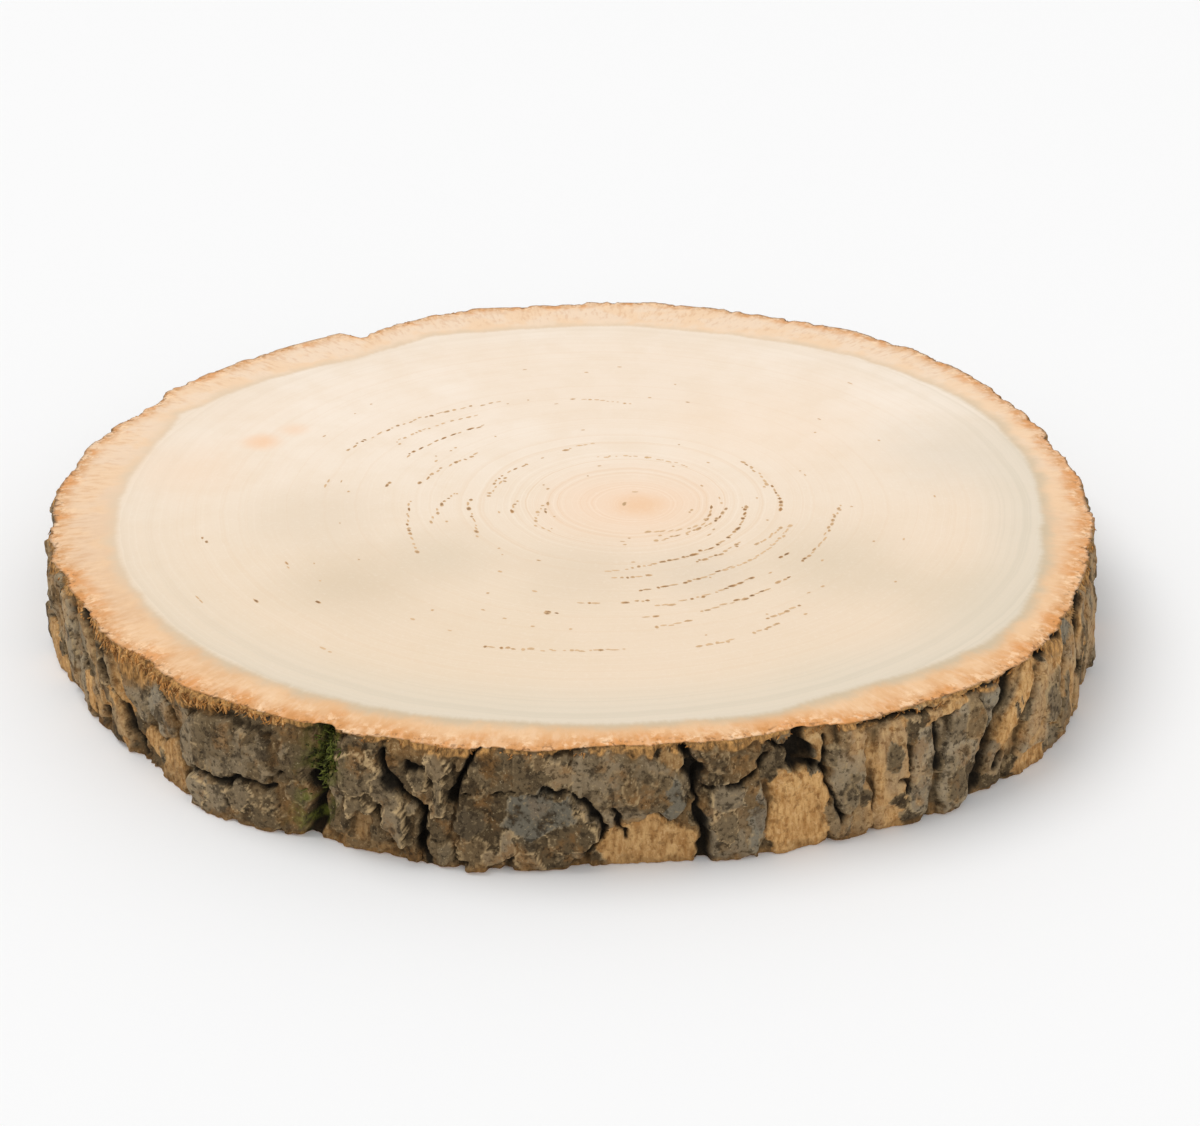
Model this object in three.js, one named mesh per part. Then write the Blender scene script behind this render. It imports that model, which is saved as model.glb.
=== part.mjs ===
// A slice sawn across the trunk of a tree, with its bark on: a flat round of pale wood
// inside a ring of inner bark, and a rough outer bark that covers the side wall.
// The slice grew as one piece, so it is one solid. A tuft of moss that lives in a crack
// of the bark is the only other piece.
// Millimetres, +Z up. The slice lies flat on z = 0, with the origin under its middle,
// and the middle of the front bark faces -Y.
import * as THREE from 'three';

// Driving sizes of the slice.
const WIDTH = 240; // across the bark along X
const DEPTH = 237; // across the bark along Y
const THICKNESS = 25; // between the two sawn faces
const SEGMENTS = 270; // facets round the bark
const ROWS = 10; // facets up the bark

// The trunk is not a true circle. Each lobe swells it `count` times a turn by `swell`
// either way, with a crest at `at` degrees from +X.
const TRUNK_RADIUS = 119;
const LOBES = [
  { count: 1, swell: 2.3, at: 310 },
  { count: 2, swell: 1.5, at: 44 },
  { count: 3, swell: 1.5, at: 71 },
  { count: 4, swell: 1.3, at: 53 },
  { count: 5, swell: 0.8, at: 24 },
  { count: 7, swell: 0.5, at: 41 },
  { count: 12, swell: 0.4, at: 20 },
];

// The bark is a mosaic of plates, each set in or out by up to half of PLATE_STEP, with a
// shallow groove along every joint between them.
const PLATE_COLUMNS = 40; // plates in one turn
const PLATE_ROWS = 2; // plates between the sawn faces
const PLATE_STEP = 1.8;
const JOINT_DEPTH = 1.1;
const JOINT_WIDTH = 0.16; // as a share of a plate
const JITTER = 0.38; // how far a plate strays from its place, as a share of a plate

// The plates stand proud of the sawn rims, where the saw has crumbled their edges.
const BELLY = 0.7;
const RIM_BAND = 3; // height of the crumbled edge

// Cracks that run up the bark from the lower face to the upper one. `at` is the place in
// degrees at half height, `lean` the degrees that it leans over the full height.
const MOSS_CRACK = { at: 247, lean: -1, depth: 4.2, width: 6 };
const CRACKS = [
  MOSS_CRACK,
  { at: 206, lean: -6, depth: 3, width: 3.2 },
  { at: 219, lean: -10, depth: 2.6, width: 3 },
  { at: 257, lean: 1, depth: 3.6, width: 3.2 },
  { at: 261, lean: 5, depth: 2.6, width: 2.8 },
  { at: 283, lean: -2, depth: 3, width: 4 },
  { at: 305.5, lean: 2, depth: 2.8, width: 2.8 },
  { at: 312, lean: 6, depth: 3.6, width: 3.2 },
  { at: 340, lean: 3, depth: 3, width: 3.6 },
  { at: 14, lean: -3, depth: 3, width: 3.5 },
  { at: 43, lean: 2, depth: 3.6, width: 4 },
  { at: 78, lean: -4, depth: 3, width: 3.2 },
  { at: 104, lean: 3, depth: 3.4, width: 4 },
  { at: 149, lean: -2, depth: 3.2, width: 3.6 },
  { at: 178, lean: 3, depth: 3, width: 3.4 },
];

// Places where a plate has come away and left a shallow hollow. `height` is the middle
// of the hollow above the lower face, `wide` and `tall` are its whole size.
const HOLLOWS = [
  { at: 222, height: 4, wide: 20, tall: 14, depth: 2.2 },
  { at: 237, height: 21.5, wide: 14, tall: 7, depth: 3 },
  { at: 277, height: 4, wide: 18, tall: 16, depth: 1.8 },
  { at: 290.5, height: 18, wide: 9, tall: 10, depth: 3.4 },
  { at: 291.5, height: 4, wide: 13, tall: 20, depth: 2.2 },
  { at: 352, height: 21, wide: 14, tall: 14, depth: 2.6 },
  { at: 62, height: 6, wide: 26, tall: 18, depth: 2.4 },
  { at: 120, height: 21, wide: 16, tall: 20, depth: 1.6 },
  { at: 163, height: 5, wide: 24, tall: 16, depth: 2.2 },
];

// The moss sits in the widest crack, MOSS_GAP clear of the bark behind it.
const MOSS_WIDTH = 7;
const MOSS_HEIGHT = 14;
const MOSS_THICKNESS = 2.4;
const MOSS_MIDDLE = 16.5; // height of its middle above the lower face
const MOSS_GAP = 0.3;

const FULL_TURN = 2 * Math.PI;
const radians = THREE.MathUtils.degToRad;

// The shorter way round from one angle to another, in radians.
function turnBetween(from, to) {
  return Math.atan2(Math.sin(to - from), Math.cos(to - from));
}

// A repeatable number from 0 to 1 for each pair of whole numbers.
function chance(column, row) {
  const wave = Math.sin(column * 127.1 + row * 311.7) * 43758.5453;
  return wave - Math.floor(wave);
}

function trunkRadius(angle) {
  const swell = LOBES.map(
    (lobe) => lobe.swell * Math.cos(lobe.count * (angle - radians(lobe.at))),
  );
  return swell.reduce((sum, part) => sum + part, TRUNK_RADIUS);
}

// How far the mosaic of plates stands out at a place on the bark. The nearest plate
// middle sets the level, and where the next one is as near, there is a joint.
function plateRelief(angle, z) {
  const across = (angle / FULL_TURN) * PLATE_COLUMNS;
  const up = (z / THICKNESS) * PLATE_ROWS;
  let nearest = Infinity;
  let second = Infinity;
  let level = 0;
  for (let column = Math.floor(across) - 1; column <= Math.floor(across) + 1; column++) {
    const turned = (column + PLATE_COLUMNS) % PLATE_COLUMNS;
    for (let row = -1; row <= PLATE_ROWS; row++) {
      const middle = column + 0.5 + JITTER * (2 * chance(turned, row) - 1);
      const height = row + 0.5 + JITTER * (2 * chance(turned + 0.5, row) - 1);
      const distance = Math.hypot(across - middle, up - height);
      if (distance < nearest) {
        second = nearest;
        nearest = distance;
        level = PLATE_STEP * (chance(turned, row + 7.5) - 0.5);
      } else if (distance < second) {
        second = distance;
      }
    }
  }
  const joint = 1 - THREE.MathUtils.smoothstep(second - nearest, 0, JOINT_WIDTH);
  return level - JOINT_DEPTH * joint;
}

function crackDepth(angle, z) {
  const depths = CRACKS.map((crack) => {
    const middle = radians(crack.at + crack.lean * (z / THICKNESS - 0.5));
    const away = turnBetween(middle, angle) * TRUNK_RADIUS;
    return crack.depth * Math.exp(-Math.pow((2 * away) / crack.width, 2));
  });
  return Math.max(...depths);
}

function hollowDepth(angle, z) {
  const depths = HOLLOWS.map((hollow) => {
    const across = (turnBetween(radians(hollow.at), angle) * TRUNK_RADIUS) / (hollow.wide / 2);
    const up = (z - hollow.height) / (hollow.tall / 2);
    return hollow.depth * (1 - THREE.MathUtils.smoothstep(Math.hypot(across, up), 0.6, 1.05));
  });
  return Math.max(...depths);
}

// The bark's distance from the middle of the slice.
function barkRadius(angle, z) {
  const toRim = Math.min(z, THICKNESS - z);
  const belly = BELLY * THREE.MathUtils.smoothstep(toRim, 0, RIM_BAND);
  const plates = plateRelief(angle, z) * THREE.MathUtils.smoothstep(toRim, 0, RIM_BAND);
  const lost = Math.max(crackDepth(angle, z), hollowDepth(angle, z));
  return trunkRadius(angle) + belly + plates - lost;
}

// The slice is a cylinder whose wall is drawn in or out to the bark's radius. Its ends
// stay flat, as the saw left them.
function sliceGeometry() {
  const slice = new THREE.CylinderGeometry(1, 1, THICKNESS, SEGMENTS, ROWS);
  slice.rotateX(Math.PI / 2);
  slice.translate(0, 0, THICKNESS / 2);
  const places = slice.getAttribute('position');
  for (let i = 0; i < places.count; i++) {
    const [x, y, z] = [places.getX(i), places.getY(i), places.getZ(i)];
    const onWall = Math.hypot(x, y) > 0.5;
    if (onWall) {
      const angle = Math.atan2(y, x);
      const radius = barkRadius(angle, z);
      places.setXYZ(i, radius * Math.cos(angle), radius * Math.sin(angle), z);
    }
  }
  return slice;
}

// Moves and scales the slice in plan until its box is WIDTH by DEPTH about the origin.
// Returns that change, which the moss needs as well.
function planFit(geometry) {
  geometry.computeBoundingBox();
  const middle = geometry.boundingBox.getCenter(new THREE.Vector3());
  const size = geometry.boundingBox.getSize(new THREE.Vector3());
  const toMiddle = new THREE.Matrix4().makeTranslation(-middle.x, -middle.y, 0);
  return new THREE.Matrix4().makeScale(WIDTH / size.x, DEPTH / size.y, 1).multiply(toMiddle);
}

// The bark's radius at the highest corner of the facet that holds this place.
function facetRadius(angle, z) {
  const across = Math.floor((angle / FULL_TURN) * SEGMENTS);
  const up = Math.floor((z / THICKNESS) * ROWS);
  const corners = [across, across + 1].flatMap((column) =>
    [up, up + 1].map((row) =>
      barkRadius((column / SEGMENTS) * FULL_TURN, (row / ROWS) * THICKNESS),
    ),
  );
  return Math.max(...corners);
}

// A tuft of moss: a small cushion that fills the mouth of its crack, with its back shaped
// to the bark and its front rounded.
function mossGeometry() {
  const moss = new THREE.SphereGeometry(1, 20, 14);
  const places = moss.getAttribute('position');
  const angle = radians(MOSS_CRACK.at);
  for (let i = 0; i < places.count; i++) {
    const height = MOSS_MIDDLE + (places.getZ(i) * MOSS_HEIGHT) / 2;
    const along = (places.getX(i) * MOSS_WIDTH) / 2;
    const facing = angle - along / TRUNK_RADIUS;
    const behind = facetRadius(facing, height) + MOSS_GAP;
    const front = MOSS_THICKNESS * Math.max(0, places.getY(i));
    const radius = behind + front;
    places.setXYZ(i, radius * Math.cos(facing), radius * Math.sin(facing), height);
  }
  return moss;
}

const barkBrown = new THREE.MeshStandardMaterial({ color: 0x8a7358, roughness: 0.9, metalness: 0 });
const mossGreen = new THREE.MeshStandardMaterial({ color: 0x5f6b2c, roughness: 1, metalness: 0 });

const woodSlice = new THREE.Mesh(sliceGeometry(), barkBrown);
woodSlice.name = 'wood_slice';

const mossTuft = new THREE.Mesh(mossGeometry(), mossGreen);
mossTuft.name = 'moss_tuft';

const fit = planFit(woodSlice.geometry);
for (const mesh of [woodSlice, mossTuft]) {
  mesh.geometry.applyMatrix4(fit);
}

const part = new THREE.Group();
part.add(woodSlice, mossTuft);

export default part;
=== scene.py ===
"""A slice sawn across a tree trunk, lying flat: a pale sanded round of wood, a ring of
peach inner bark, and rough plated bark round the side with a tuft of moss in a crack.
Metres, +Z up. The front of the slice faces -Y."""

import math

import bpy
import numpy as np
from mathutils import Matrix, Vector


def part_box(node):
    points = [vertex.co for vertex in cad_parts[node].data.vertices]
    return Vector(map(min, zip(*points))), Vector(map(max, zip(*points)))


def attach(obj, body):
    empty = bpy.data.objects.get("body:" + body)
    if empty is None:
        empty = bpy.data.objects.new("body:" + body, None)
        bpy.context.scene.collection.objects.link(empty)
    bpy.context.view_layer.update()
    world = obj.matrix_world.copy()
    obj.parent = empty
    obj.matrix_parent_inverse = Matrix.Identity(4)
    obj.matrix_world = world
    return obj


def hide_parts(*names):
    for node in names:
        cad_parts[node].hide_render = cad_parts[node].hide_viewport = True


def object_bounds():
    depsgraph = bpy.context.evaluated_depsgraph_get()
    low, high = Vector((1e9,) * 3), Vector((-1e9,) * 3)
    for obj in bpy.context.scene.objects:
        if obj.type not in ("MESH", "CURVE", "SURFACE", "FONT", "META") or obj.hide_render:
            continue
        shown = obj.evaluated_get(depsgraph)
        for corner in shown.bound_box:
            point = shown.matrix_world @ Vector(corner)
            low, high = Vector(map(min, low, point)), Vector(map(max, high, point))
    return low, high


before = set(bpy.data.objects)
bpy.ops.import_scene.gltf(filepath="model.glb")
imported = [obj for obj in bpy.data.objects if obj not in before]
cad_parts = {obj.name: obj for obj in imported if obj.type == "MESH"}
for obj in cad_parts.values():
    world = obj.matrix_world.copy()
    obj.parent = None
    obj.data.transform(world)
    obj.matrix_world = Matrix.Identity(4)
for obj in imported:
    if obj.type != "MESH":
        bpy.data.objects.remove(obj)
cad_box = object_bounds()
MM = 0.001


# ---------------------------------------------------------------------------------------
# Camera. The slice is looked at from the front and from a little above, about half a
# metre away, so that the front bark and nearly the whole of the sawn face show.

LOOK_DOWN = math.radians(27.6)
EYE_DISTANCE = 0.47
aim = Vector((0.0058, -0.0424, cad_box[1].z))
back = Vector((0, -math.cos(LOOK_DOWN), math.sin(LOOK_DOWN)))

eye = bpy.data.objects.new("eye", bpy.data.cameras.new("eye"))
eye.data.lens = 64.5
eye.data.clip_start = 0.01
eye.location = aim + back * EYE_DISTANCE
eye.rotation_euler = back.to_track_quat("Z", "Y").to_euler()
bpy.context.collection.objects.link(eye)
bpy.context.scene.camera = eye


# ---------------------------------------------------------------------------------------
# Floor and light. A plain white table in a pale room, with a broad soft light from high
# behind the slice at the left and a weaker one from in front.


def paint(red, green, blue):
    """A colour given in the usual 0 to 255 way, as the linear colour that shaders take."""
    share = np.array([red, green, blue]) / 255
    linear = np.where(share <= 0.04045, share / 12.92, ((share + 0.055) / 1.055) ** 2.4)
    return (*(float(part) for part in linear), 1.0)


def shade(tree, kind, wires=None, **settings):
    """Adds a node to a shader tree. A wire is another node's socket or a plain value."""
    made = tree.nodes.new("ShaderNode" + kind)
    for name, value in settings.items():
        setattr(made, name, value)
    for name, value in (wires or {}).items():
        if isinstance(value, bpy.types.NodeSocket):
            tree.links.new(value, made.inputs[name])
        else:
            made.inputs[name].default_value = value
    return made


def new_material(name, roughness, gloss):
    """A material with nothing in its tree but the surface, which is handed back with it."""
    material = bpy.data.materials.new(name)
    material.use_nodes = True
    tree = material.node_tree
    tree.nodes.clear()
    surface = shade(tree, "BsdfPrincipled")
    surface.inputs["Roughness"].default_value = roughness
    surface.inputs["Specular IOR Level"].default_value = gloss
    shade(tree, "OutputMaterial", {"Surface": surface.outputs["BSDF"]})
    return material, tree, surface


def soft_sun(name, towards, strength, spread):
    """An even light from this direction, softened over a wide angle in degrees."""
    lamp = bpy.data.objects.new(name, bpy.data.lights.new(name, "SUN"))
    lamp.data.energy = strength
    lamp.data.angle = math.radians(spread)
    lamp.location = towards
    lamp.rotation_euler = Vector(towards).to_track_quat("Z", "Y").to_euler()
    bpy.context.collection.objects.link(lamp)


floor_white, _, floor_surface = new_material("floor_white", 0.8, 0.2)
floor_surface.inputs["Base Color"].default_value = paint(240, 240, 240)

FLOOR_HALF = 30.0
floor_mesh = bpy.data.meshes.new("floor")
floor_corners = [(-1, -1), (1, -1), (1, 1), (-1, 1)]
floor_mesh.from_pydata(
    [(x * FLOOR_HALF, y * FLOOR_HALF, -0.0002) for x, y in floor_corners], [], [(0, 1, 2, 3)]
)
floor_mesh.materials.append(floor_white)
floor = bpy.data.objects.new("floor", floor_mesh)
bpy.context.collection.objects.link(floor)

soft_sun("light_high_left", (-0.6, 0.3, 1.2), 1.25, 40)
soft_sun("light_front", (0.35, -1.0, 0.6), 0.4, 60)

room = bpy.data.worlds.new("room")
room.use_nodes = True
room.node_tree.nodes["Background"].inputs["Color"].default_value = (1, 1, 1, 1)
room.node_tree.nodes["Background"].inputs["Strength"].default_value = 0.7
bpy.context.scene.world = room
bpy.context.scene.view_settings.view_transform = "Standard"


# ---------------------------------------------------------------------------------------
# Outer bark. Dead grey-brown bark in layers of ragged plates over a dark inner layer, with
# cracks between them, tan places where a plate has broken off, and thin grey lichen. It
# still holds to the trunk all round, and the saw has crumbled its two rims.

COLUMNS = 1520  # points round the trunk
ROWS = 62  # steps up the bark
TRUNK = 120.0  # mm, the radius that turns degrees into millimetres along the bark
GIRTH = 2 * math.pi * TRUNK
TALL = (cad_box[1].z - cad_box[0].z) / MM
TOWARDS_CORE = 9.0  # mm, from the outline to the hidden inner side of the bark

# The points stand closer together on the broken front bark than round the back.
even_degrees = np.arange(0, 360.5, 0.5)
crowding = np.interp(even_degrees, [0, 190, 205, 345, 360], [1, 1, 2.1, 2.1, 1])
counted = np.append(0, np.cumsum((crowding[1:] + crowding[:-1]) / 2))
column_degrees = np.interp(np.arange(COLUMNS) / COLUMNS * counted[-1], counted, even_degrees)
turns = np.radians(column_degrees)


def trunk_outline(node):
    """The slice's smoothed radius in millimetres, at each column round the trunk."""
    places = np.array([v.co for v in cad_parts[node].data.vertices]) / MM
    radius = np.hypot(places[:, 0], places[:, 1])
    wall = radius > 80
    sector = (np.degrees(np.arctan2(places[:, 1], places[:, 0])) % 360 / 3).astype(int)
    proud = [np.percentile(radius[wall & (sector == number)], 75) for number in range(120)]
    waves = np.fft.rfft(proud)
    waves[14:] = 0
    return np.interp(column_degrees, np.arange(120) * 3 + 1.5, np.fft.irfft(waves, 120), period=360)


def round_trunk(marks):
    """A value at each column, drawn between (degrees, value) marks and joined up."""
    degrees, values = zip(*marks)
    return np.interp(column_degrees, degrees, values, period=360)


def mottle(wide, tall, seed, places=None):
    """Smooth random values from -1 to 1 in patches of this size, joined up round the trunk:
    at every place on the bark, or at the (along, up) places given."""
    at_along, at_up = places or (along, up)
    across = max(3, round(GIRTH / wide))
    chances = np.random.default_rng(seed).uniform(-1, 1, (across, int(4 * TALL / tall) + 8))
    column = at_along / GIRTH * across
    row = at_up / tall + (TALL / tall + 2)
    left, low = np.floor(column).astype(int), np.floor(row).astype(int)
    right_share, high_share = column - left, row - low
    right_share = right_share**2 * (3 - 2 * right_share)
    high_share = high_share**2 * (3 - 2 * high_share)
    low = np.clip(low, 0, chances.shape[1] - 2)
    near, far = left % across, (left + 1) % across
    below = chances[near, low] * (1 - right_share) + chances[far, low] * right_share
    above = chances[near, low + 1] * (1 - right_share) + chances[far, low + 1] * right_share
    return below * (1 - high_share) + above * high_share


def wander(wide, seed):
    """Smooth random values from -1 to 1 at each column, the same all the way up."""
    return mottle(wide, 5, seed, (turns * TRUNK, 0 * turns))


def ease(values, start, end):
    """0 before start, 1 after end, and a smooth turn between."""
    share = np.clip((values - start) / (end - start), 0, 1)
    return share**2 * (3 - 2 * share)


outline = trunk_outline("wood_slice")
along = np.tile(turns * TRUNK, (ROWS + 1, 1))
up = np.repeat(np.linspace(0, TALL, ROWS + 1), COLUMNS).reshape(ROWS + 1, COLUMNS)

# Every outline on the bark is drawn on these shifted places, so that it comes out ragged.
# At the left and the right of the front the bark has split in straighter lines.
ragged = round_trunk([(190, 1), (203, 0.6), (230, 0.7), (240, 1), (290, 1), (299, 0.5), (345, 0.5)])
shifts = [1.1 * mottle(6, 5, seed) for seed in (1, 4)]
shifts = [shift + 0.7 * mottle(2.1, 1.8, seed) for shift, seed in zip(shifts, (2, 5))]
shifts = [shift + 0.4 * mottle(0.9, 0.8, seed) for shift, seed in zip(shifts, (3, 6))]
rough_along = along + ragged * shifts[0]
rough_up = up + ragged * shifts[1]


def across_from(degrees):
    """How far each place lies round the trunk from this direction, in millimetres."""
    away = rough_along - math.radians(degrees) * TRUNK
    return (away + GIRTH / 2) % GIRTH - GIRTH / 2


def patch(at, height, wide, tall, lean, corners=7):
    """How far out each place is in a leaning patch with uneven corners: 0 in its middle and
    1 at its edge. The places along its width and height come with it."""
    away, above = across_from(at), rough_up - height
    slant = math.radians(lean)
    sideways = (away * math.cos(slant) + above * math.sin(slant)) * 2 / wide
    lengthways = (above * math.cos(slant) - away * math.sin(slant)) * 2 / tall
    shape = np.random.default_rng(int(1000 * at + 10 * height))
    out = np.zeros_like(along)
    for corner in range(corners):
        facing = 2 * math.pi * (corner + shape.uniform(-0.3, 0.3)) / corners
        reach = shape.uniform(0.8, 1.12)
        side = sideways * math.cos(facing) + lengthways * math.sin(facing)
        out = np.maximum(out, side / reach)
    return out, sideways / 2, lengthways / 2


# What is known of each place on the bark: how far it stands out in millimetres, and, from
# 0 to 1, how grey it is, how tan, how crusted with lichen, how worn, and how dark the painted
# shade is that lies in its cracks, open joints and beside raised flakes.
bark = {
    "relief": -1.3 + 0.5 * mottle(4, 6, 7) + 0.3 * mottle(1.5, 2, 8),
    "grey": 0.2 + 0.12 * mottle(7, 5, 9),
    "tan": 0.25 + 0.3 * mottle(9, 6, 10),
    "lichen": np.zeros_like(along),
    "worn": np.zeros_like(along),
    "crack": np.zeros_like(along),
}


def blend_in(share, **values):
    """Takes the bark part of the way to these values, by this share at each place."""
    for name, value in values.items():
        bark[name] = bark[name] * (1 - share) + value * share


# The plates of the front, from left to right, as they lie on the trunk. Each is: degrees,
# height, width, height of the plate, lean, lift, how grey, how tan, how much lichen, tilt.
plates = [
    (206.5, 14, 12, 24, 20, 0.5, 0.6, 0.05, 0.2, (0.3, 0.2)),
    (210.5, 4, 6, 12, 24, 0.2, 0.5, 0.1, 0, (0.3, 0)),
    (213.2, 14, 6, 22, 24, 0.4, 0.4, 0.25, 0.1, (0.4, 0)),
    (218.4, 11, 6, 24, 24, 0.3, 0.35, 0.3, 0, (0.4, 0)),
    (222.8, 18, 7, 15, 24, 0.7, 0.45, 0.1, 0.1, (-0.4, 0.3)),
    (226.6, 16, 7, 15, 20, 0.4, 0.65, 0.1, 0.5, (0.3, 0.2)),
    (228.5, 4, 9, 13, 24, 0, 0.3, 0.4, 0, (0.5, 0)),
    (236.4, 14.4, 23, 13, 5, 0.9, 0.5, 0, 0, (0.2, -0.4)),
    (234.4, 3.5, 10, 11, 4, 0.6, 0.55, 0.05, 0.1, (-0.7, 0.5)),
    (239.6, 5, 11, 11, -8, 0.4, 0.45, 0.05, 0.05, (-0.5, 0.6)),
    (243.4, 7, 7, 13, 0, 0, 0.25, 0.15, 0, (0.3, 0)),
    (243.2, 19, 9, 12, 0, 0.1, 0.3, 0.1, 0, (-0.3, 0)),
    (250.3, 5, 9, 13, 0, 0.2, 0.35, 0.25, 0, (-0.3, 0.3)),
    (250.6, 17, 9, 15, 0, 0.2, 0.35, 0.05, 0, (0.2, 0.2)),
    (254.4, 11, 7, 22, 16, 0.1, 0.3, 0.05, 0, (0.2, -0.2)),
    (258.2, 14, 5, 22, 0, 0.1, 0.3, 0.05, 0, (0, 0)),
    (258.6, 2.5, 7, 7, 0, 0.2, 0.4, 0.2, 0, (0, 0)),
    (262.6, 9, 9.5, 19, 4, 0.5, 0.25, 0, 0, (0.2, 0.2)),
    (268, 9, 18, 18, -6, 0.6, 0.32, 0.05, 0.05, (0.2, -0.2)),
    (265, 20.5, 19, 9, -4, 0.7, 0.42, 0, 0, (0, -0.4)),
    (274.2, 17, 22, 16, -8, 1.0, 0.55, 0.2, 0, (-0.3, 0.3)),
    (277, 3, 18, 13, 0, -0.2, 0.5, 0.8, 0, (0, 0)),
    (284.6, 20, 14, 11, -14, 0.5, 0.25, 0.15, 0, (0.2, -0.4)),
    (285.4, 9, 10.5, 20, 4, 0.8, 0.55, 0.1, 0.35, (-0.5, 0.3)),
    (291.6, 5, 10.5, 22, 3, 0, 0.5, 1, 0, (0, 0)),
    (296.2, 14, 6, 24, -2, 0.5, 0.4, 0.15, 0.05, (0, 0.2)),
    (297.4, 5, 5, 12, 0, 0.2, 0.35, 0.4, 0, (0, 0)),
    (300.6, 13, 6.5, 20, -3, 0.5, 0.5, 0.45, 0, (0.3, 0)),
    (301.0, 2.5, 9, 8, 0, 0.3, 0.5, 0.35, 0.1, (0, 0)),
    (303.7, 12, 5, 22, -6, 0.7, 0.62, 0.15, 0.3, (-0.4, 0.2)),
    (308.0, 11, 8.5, 24, -11, 0.8, 0.55, 0.1, 0.05, (0.4, -0.2)),
    (306.0, 22.8, 18, 4, 3, 0.6, 0.45, 0.6, 0, (0, 0)),
    (311.6, 19, 3, 13, -16, 0.7, 0.85, 0, 0.7, (0, 0)),
    (311.8, 4.5, 6, 12, -22, 0.4, 0.4, 0.2, 0, (0.3, 0)),
    (315.6, 17, 4.2, 18, -36, 0.7, 0.62, 0.7, 0, (0.4, 0)),
    (319.8, 12.5, 10.5, 20, -30, 1.0, 0.52, 0.12, 0.1, (-0.4, 0.3)),
    (317.6, 1.8, 9, 6, 0, 0.4, 0.5, 0.5, 0, (0, 0)),
    (323.6, 21.5, 7, 6, -12, 0.4, 0.45, 0.65, 0, (0, 0)),
    (326.6, 9, 8, 20, -20, 0.6, 0.5, 0.25, 0.1, (0.3, 0)),
    (331.8, 12, 8.5, 26, -17, 0.5, 0.5, 0.35, 0, (-0.3, 0)),
    (337.6, 10, 9, 26, -14, 0.7, 0.5, 0.2, 0.1, (0.3, 0.1)),
    (343.2, 12, 8, 26, -12, 0.5, 0.5, 0.3, 0, (0, 0.2)),
]

# Round the sides and the back the plates stand in uneven leaning columns.
SIDES_FROM, SIDES_TO = 347.0, 562.0  # degrees
chance = np.random.default_rng(11)
degree = SIDES_FROM
while degree < SIDES_TO:
    wide = chance.uniform(8, 15)
    degree += math.degrees(wide / TRUNK) / 2
    low = chance.uniform(-7, 2)
    lean = chance.uniform(-4, 20)
    while low < TALL:
        tall = chance.uniform(10, 26)
        plates.append(
            (
                degree + chance.uniform(-1.5, 1.5),
                low + tall / 2,
                wide * 1.15,
                tall * 1.2,
                lean + chance.uniform(-6, 6),
                chance.uniform(-0.1, 0.9),
                chance.uniform(0.25, 0.65),
                chance.choice([0.0, 0.1, 0.25, 0.6]),
                chance.choice([0.0, 0.0, 0.1, 0.5]),
                (chance.uniform(-0.5, 0.5), chance.uniform(-0.4, 0.4)),
            )
        )
        low += tall
    degree += math.degrees(wide / TRUNK) / 2

# Each place on the bark belongs to the plate that it is furthest inside.
inmost = np.full_like(along, 9.0)
next_inmost = np.full_like(along, 9.0)
looks = [np.zeros_like(along) for _ in range(4)]
for at, height, wide, tall, lean, lift, grey, tan, lichen, tilt in plates:
    out, sideways, lengthways = patch(at, height, wide, tall, lean)
    nearer = out < inmost
    next_inmost = np.where(nearer, inmost, np.minimum(next_inmost, out))
    inmost = np.where(nearer, out, inmost)
    top = lift + tilt[0] * sideways + tilt[1] * lengthways
    looks = [np.where(nearer, new, old) for new, old in zip((top, grey, tan, lichen), looks)]
covered = 1 - ease(inmost, 1.12, 1.18)
blend_in(covered, relief=looks[0], grey=looks[1], tan=looks[2], lichen=looks[3])

# A joint between two plates is open in some places and tight in others.
gap = 0.03 + np.clip(0.04 + 0.12 * mottle(5, 5, 21), 0, 0.15)
gap *= round_trunk([(190, 1), (290, 1), (298, 0.5), (345, 0.5), (352, 1)])
joint = (1 - ease(next_inmost - inmost, 0.6 * gap, gap)) * covered
joint *= ease(mottle(8, 7, 22), -0.5, 0.3)
bark["relief"] -= joint * (0.3 + 8 * gap)
# Open joints are darkened as painted shade.
bark["crack"] = np.maximum(bark["crack"], joint * ease(gap, 0.05, 0.12))

# The bark is more golden at the left and the right of the front.
golden = round_trunk([
    (186, 0.03), (205, 0.22), (228, 0.1), (240, 0), (285, 0), (298, 0.25), (340, 0.22), (354, 0.05),
])
bark["tan"] += golden * np.clip(0.8 + 1.2 * mottle(4, 9, 28), 0, 2)
bark["grey"] += 1.1 * golden

# The weather peels the plates in thin skins, which leave low ragged steps.
skins = mottle(11, 8, 31) + 0.55 * mottle(4, 3.4, 32, (rough_along, rough_up))
skins = 3.2 * (skins + 0.35 * mottle(1.8, 1.5, 33, (rough_along, rough_up)))
skin_number = np.floor(skins)
skin_top = ease(skins - skin_number, 0.0, 0.1)
bark["relief"] += 0.2 * (skin_number + skin_top)
bark["grey"] += 0.09 * np.sin(skin_number * 5.3 + 0.7)
bark["tan"] += 0.1 * np.clip(-skin_number - 1, 0, 2)
skin_edge = ease(skins - skin_number, 0.02, 0.08) * (1 - ease(skins - skin_number, 0.1, 0.3))
bark["worn"] = 0.45 * skin_edge * ease(mottle(3.2, 3.2, 34), 0.1, 0.6)


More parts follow.
